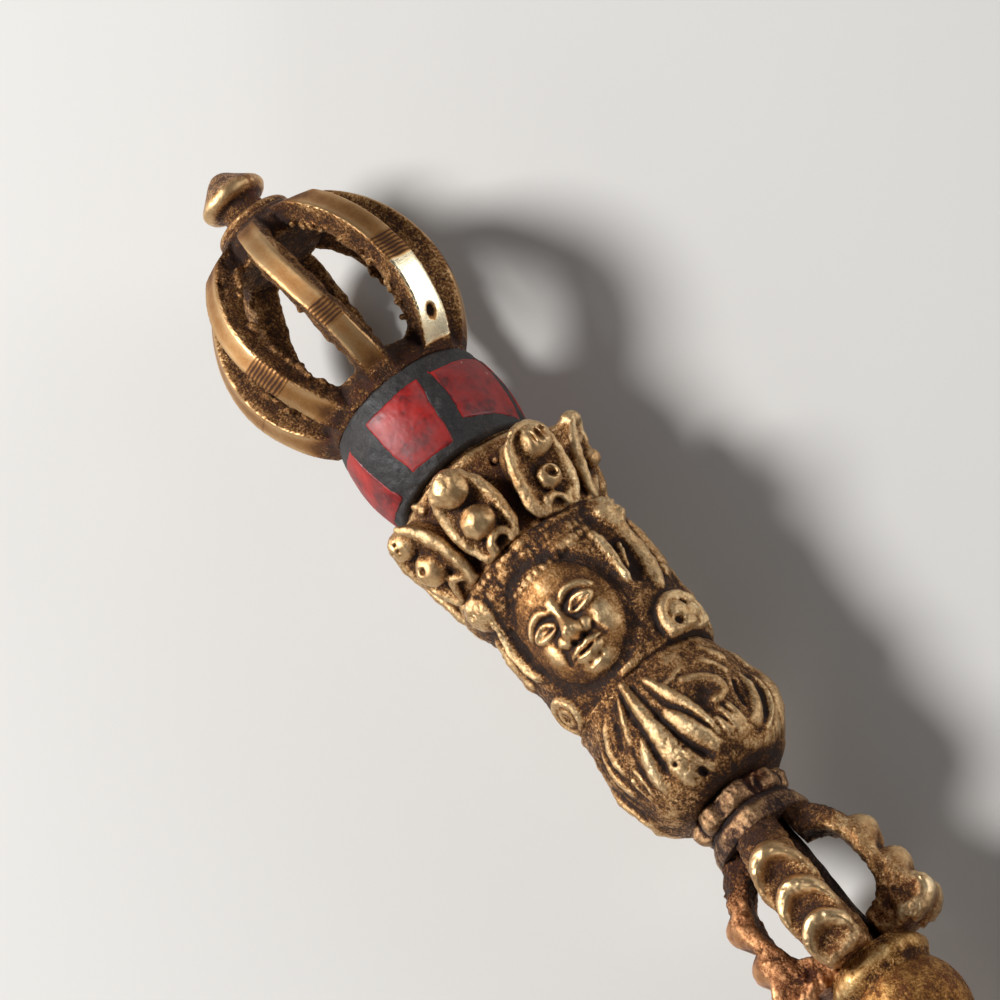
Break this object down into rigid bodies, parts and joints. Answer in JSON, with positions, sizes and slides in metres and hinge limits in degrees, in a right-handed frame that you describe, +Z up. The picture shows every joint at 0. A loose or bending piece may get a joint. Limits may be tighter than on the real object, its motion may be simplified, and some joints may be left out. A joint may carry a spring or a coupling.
{
  "type": "vajra",
  "caption": "Double-ended ritual vajra with openwork arms round the grip, a crowned head, an inlaid band and a closed prong cage at each end, held in the hand at the round hub.",
  "frame": {"origin": "centre of the round hub, on the long axis", "axes": "+X along the long axis, away from the pictured end, which points to -X; +Z up, the way both faces look; +Y to the left of the pictured face as it looks up"},
  "size_m": [0.2348, 0.0268, 0.0261],
  "materials": {
    "brass": "aged cast brass, polished on the ridges and brown in the recesses",
    "dark_brass": "cast brass with a dark brown patina",
    "resin": "matte charcoal setting resin with a fine grain",
    "coral": "worn red stone tiles, ground flush",
    "iron": "bare iron rod, hidden"
  },
  "bodies": {
    "root": {"tie_rod": "iron", "hub_ball": "brass", "hub_flange_a": "brass", "spindle_a": "dark_brass", "arm_front_a": "brass", "arm_back_a": "brass", "arm_left_a": "brass", "arm_right_a": "brass", "neck_sleeve_a": "dark_brass", "lotus_collar_a": "dark_brass", "knot_a": "brass", "head_a": "brass", "crown_a": "brass", "inlay_matrix_a": "resin", "inlay_tiles_a": "coral", "prong_cage_a": "brass", "finial_a": "brass", "hub_flange_b": "brass", "spindle_b": "dark_brass", "arm_front_b": "brass", "arm_back_b": "brass", "arm_left_b": "brass", "arm_right_b": "brass", "neck_sleeve_b": "dark_brass", "lotus_collar_b": "dark_brass", "knot_b": "brass", "head_b": "brass", "crown_b": "brass", "inlay_matrix_b": "resin", "inlay_tiles_b": "coral", "prong_cage_b": "brass", "finial_b": "brass"}
  },
  "joints": []
}
